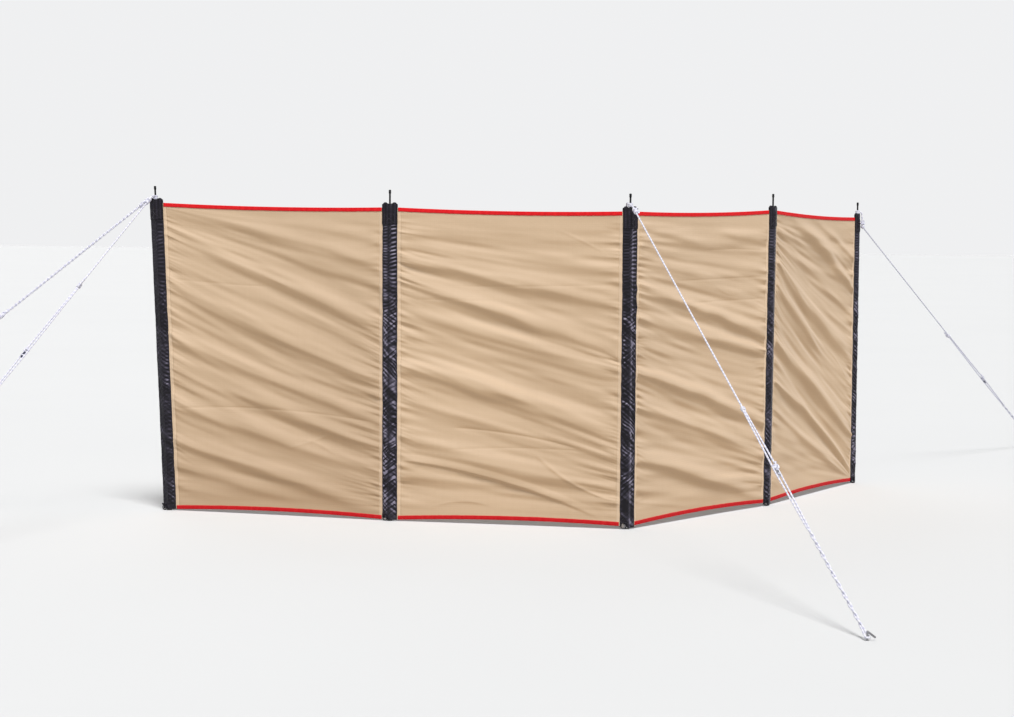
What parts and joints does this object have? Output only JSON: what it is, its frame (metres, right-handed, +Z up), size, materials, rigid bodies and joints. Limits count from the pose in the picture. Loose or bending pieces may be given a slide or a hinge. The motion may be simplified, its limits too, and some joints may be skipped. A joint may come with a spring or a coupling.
{
  "type": "beach windbreak",
  "caption": "Beach windbreak: tan cloth bays with red binding between black-sleeved poles, stayed by guy ropes to pegs, to shelter people from wind.",
  "frame": {"origin": "centre of the middle pole's foot, on the ground", "axes": "+Z up, +Y to the back of the screen, +X to the right seen from the front"},
  "size_m": [4.7892, 4.364, 1.0905],
  "materials": {
    "pole_metal": "satin tube",
    "black_plastic": "moulded",
    "pin_steel": "black coated steel",
    "sleeve_cloth": "black nylon, wrinkled",
    "webbing": "black woven webbing",
    "panel_cloth": "plain weave polycotton",
    "binding_tape": "woven red tape",
    "rope": "braided, white with blue flecks",
    "slider_metal": "dark anodised",
    "peg_steel": "weathered wire"
  },
  "bodies": {
    "root": {"pole_1": "pole_metal", "pole_2": "pole_metal", "pole_3": "pole_metal", "pole_4": "pole_metal", "pole_5": "pole_metal", "foot_plugs": "black_plastic", "tip_pin_1": "pin_steel", "tip_pin_2": "pin_steel", "tip_pin_3": "pin_steel", "tip_pin_4": "pin_steel", "tip_pin_5": "pin_steel", "sleeve_1": "sleeve_cloth", "sleeve_2": "sleeve_cloth", "sleeve_3": "sleeve_cloth", "sleeve_4": "sleeve_cloth", "sleeve_5": "sleeve_cloth", "webbing_cap_1": "webbing", "webbing_cap_2": "webbing", "webbing_cap_3": "webbing", "webbing_cap_4": "webbing", "webbing_cap_5": "webbing", "panel_1": "panel_cloth", "panel_2": "panel_cloth", "panel_3": "panel_cloth", "panel_4": "panel_cloth", "top_binding_1": "binding_tape", "top_binding_2": "binding_tape", "top_binding_3": "binding_tape", "top_binding_4": "binding_tape", "bottom_binding_1": "binding_tape", "bottom_binding_2": "binding_tape", "bottom_binding_3": "binding_tape", "bottom_binding_4": "binding_tape", "guy_rope_left_side": "rope", "guy_rope_left_front": "rope", "guy_rope_middle_front": "rope", "guy_rope_middle_back": "rope", "guy_rope_right_side": "rope", "guy_rope_right_back": "rope", "slider_left_side": "slider_metal", "slider_left_front": "slider_metal", "slider_middle_front": "slider_metal", "slider_middle_back": "slider_metal", "slider_right_side": "slider_metal", "slider_right_back": "slider_metal", "peg_left_side": "peg_steel", "peg_left_front": "peg_steel", "peg_middle_front": "peg_steel", "peg_middle_back": "peg_steel", "peg_right_side": "peg_steel", "peg_right_back": "peg_steel"}
  },
  "joints": []
}
